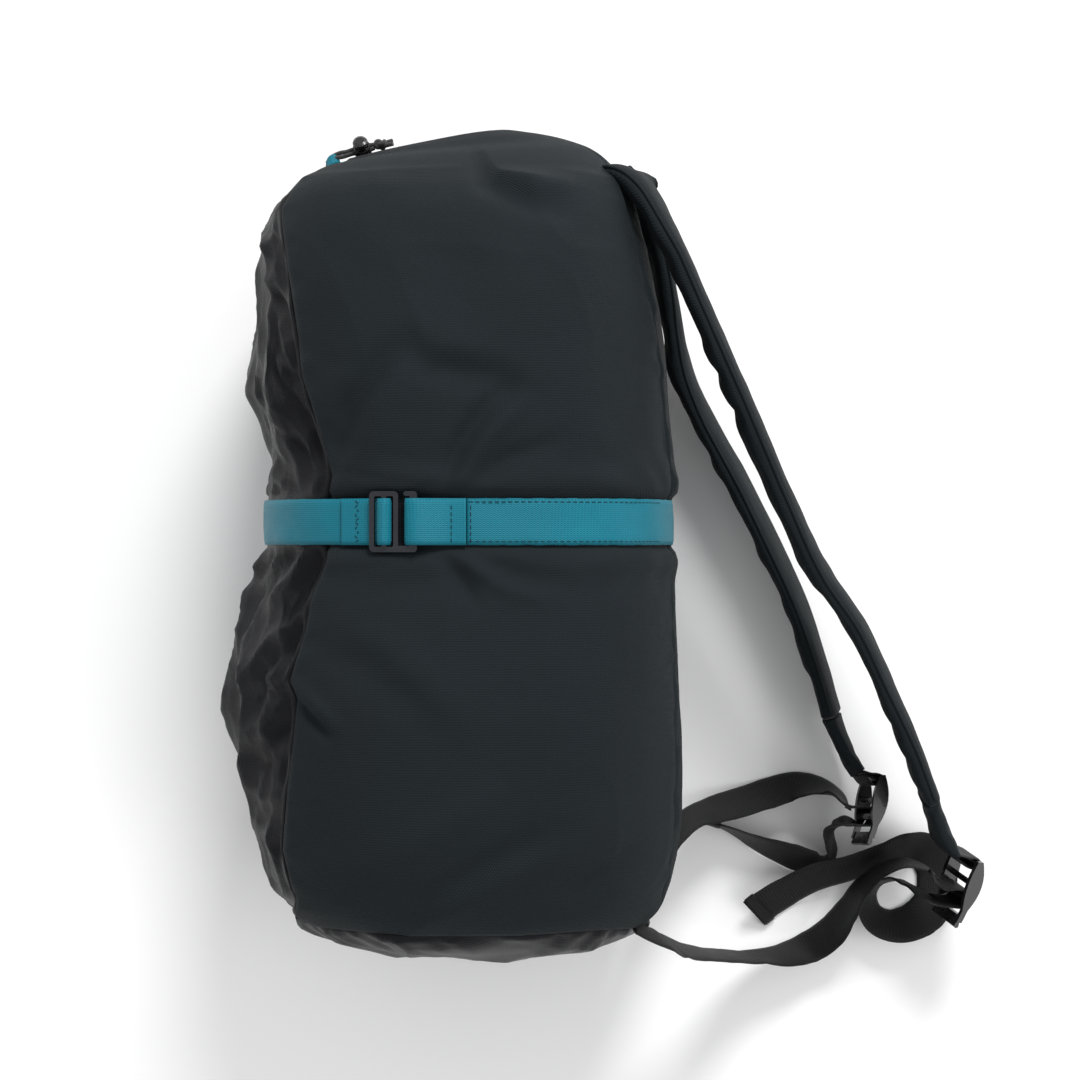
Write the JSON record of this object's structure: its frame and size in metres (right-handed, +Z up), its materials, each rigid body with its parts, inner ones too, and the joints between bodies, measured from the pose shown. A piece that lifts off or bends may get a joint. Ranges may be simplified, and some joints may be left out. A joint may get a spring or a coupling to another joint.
{
  "type": "packable stuff sack backpack",
  "caption": "Stuffed soft sack lying on its side: drawcord mouth with cord lock, webbing compression strap with an open metal hook, padded shoulder straps with ladder-lock adjusters.",
  "frame": {"origin": "on the floor under the middle of the compression strap, at the centre of the rest face of the left panel", "axes": "+X from the front gusset to the back panel and harness, +Y from the bottom to the drawcord mouth, +Z up through the right side panel"},
  "size_m": [0.4486, 0.4969, 0.2383],
  "materials": {
    "ripstop": "matte",
    "thin_nylon": "satin",
    "teal_webbing": "satin",
    "teal_tab": "satin",
    "black_webbing": "satin",
    "tape": "matte",
    "cord": "satin",
    "foam": "matte",
    "hook_metal": "satin",
    "lock_plastic": "satin",
    "spring_steel": "satin"
  },
  "bodies": {
    "sack": {"side_panel_right": "ripstop", "side_panel_left": "ripstop", "front_gusset": "thin_nylon", "back_panel": "ripstop", "bottom_panel": "thin_nylon", "seam_tape_front_right": "tape", "seam_tape_front_left": "tape", "seam_tape_back_right": "tape", "seam_tape_back_left": "tape", "seam_tape_bottom": "tape", "drawcord_channel": "thin_nylon", "drawcord_loop": "cord", "drawcord_tail_a": "cord", "drawcord_tail_b": "cord", "drawcord_knot": "cord", "cord_exit_tab": "teal_tab", "strap_receiving_loop": "teal_webbing", "strap_right_run": "teal_webbing", "strap_front_run": "teal_webbing", "strap_left_run": "teal_webbing", "strap_root_right": "ripstop", "strap_root_left": "ripstop", "adjuster_run_right": "black_webbing", "adjuster_run_left": "black_webbing"},
    "hook_end": {"g_hook": "hook_metal", "strap_hook_fold": "teal_webbing"},
    "cord_lock": {"cord_lock_barrel": "lock_plastic", "cord_lock_spring": "spring_steel"},
    "cord_plunger": {"cord_lock_plunger": "lock_plastic"},
    "shoulder_right": {"shoulder_cover_right": "ripstop", "shoulder_foam_right": "foam", "strap_sleeve_right": "ripstop", "lock_loop_right": "black_webbing", "adjuster_tail_right": "black_webbing"},
    "lock_right": {"ladder_lock_right": "lock_plastic", "adjuster_wrap_right": "black_webbing"},
    "shoulder_left": {"shoulder_cover_left": "ripstop", "shoulder_foam_left": "foam", "strap_sleeve_left": "ripstop", "lock_loop_left": "black_webbing", "adjuster_tail_left": "black_webbing"},
    "lock_left": {"ladder_lock_left": "lock_plastic", "adjuster_wrap_left": "black_webbing"}
  },
  "joints": [
    {"name": "shoulder_right_swing", "type": "hinge", "parent": "sack", "child": "shoulder_right", "pos_m": [0.103, 0.1935, 0.149], "axis": [0, 0, 1], "range_deg": [-2, 12], "deforming": ["strap_root_right", "adjuster_run_right", "adjuster_tail_right"]},
    {"name": "lock_right_tilt", "type": "hinge", "parent": "shoulder_right", "child": "lock_right", "pos_m": [0.31, -0.2025, 0.046], "axis": [0.3079, -0.2061, 0.9288], "range_deg": [-10, 10], "deforming": ["adjuster_tail_right", "adjuster_run_right"]},
    {"name": "shoulder_left_swing", "type": "hinge", "parent": "sack", "child": "shoulder_left", "pos_m": [0.105, 0.1926, 0.0735], "axis": [0, 0, 1], "range_deg": [-6, 2], "deforming": ["strap_root_left", "adjuster_run_left", "adjuster_tail_left"]},
    {"name": "lock_left_tilt", "type": "hinge", "parent": "shoulder_left", "child": "lock_left", "pos_m": [0.255, -0.1565, 0.03], "axis": [0.2141, 0.1113, 0.9705], "range_deg": [-10, 10], "deforming": ["adjuster_tail_left", "adjuster_run_left"]},
    {"name": "hook_release", "type": "slide", "parent": "sack", "child": "hook_end", "axis": [0, -0.9121, 0.41], "range_m": [0, 0.03], "deforming": ["strap_receiving_loop", "strap_front_run"]},
    {"name": "cord_lock_slide", "type": "slide", "parent": "sack", "child": "cord_lock", "axis": [0.9659, 0.259, 0], "range_m": [-0.006, 0.0015]},
    {"name": "plunger_press", "type": "slide", "parent": "cord_lock", "child": "cord_plunger", "axis": [-0.13, 0.483, 0.8659], "range_m": [-0.0024, 0], "stiffness_N_per_m": 300, "springref_m": 0.003, "deforming": ["cord_lock_spring"]}
  ]
}
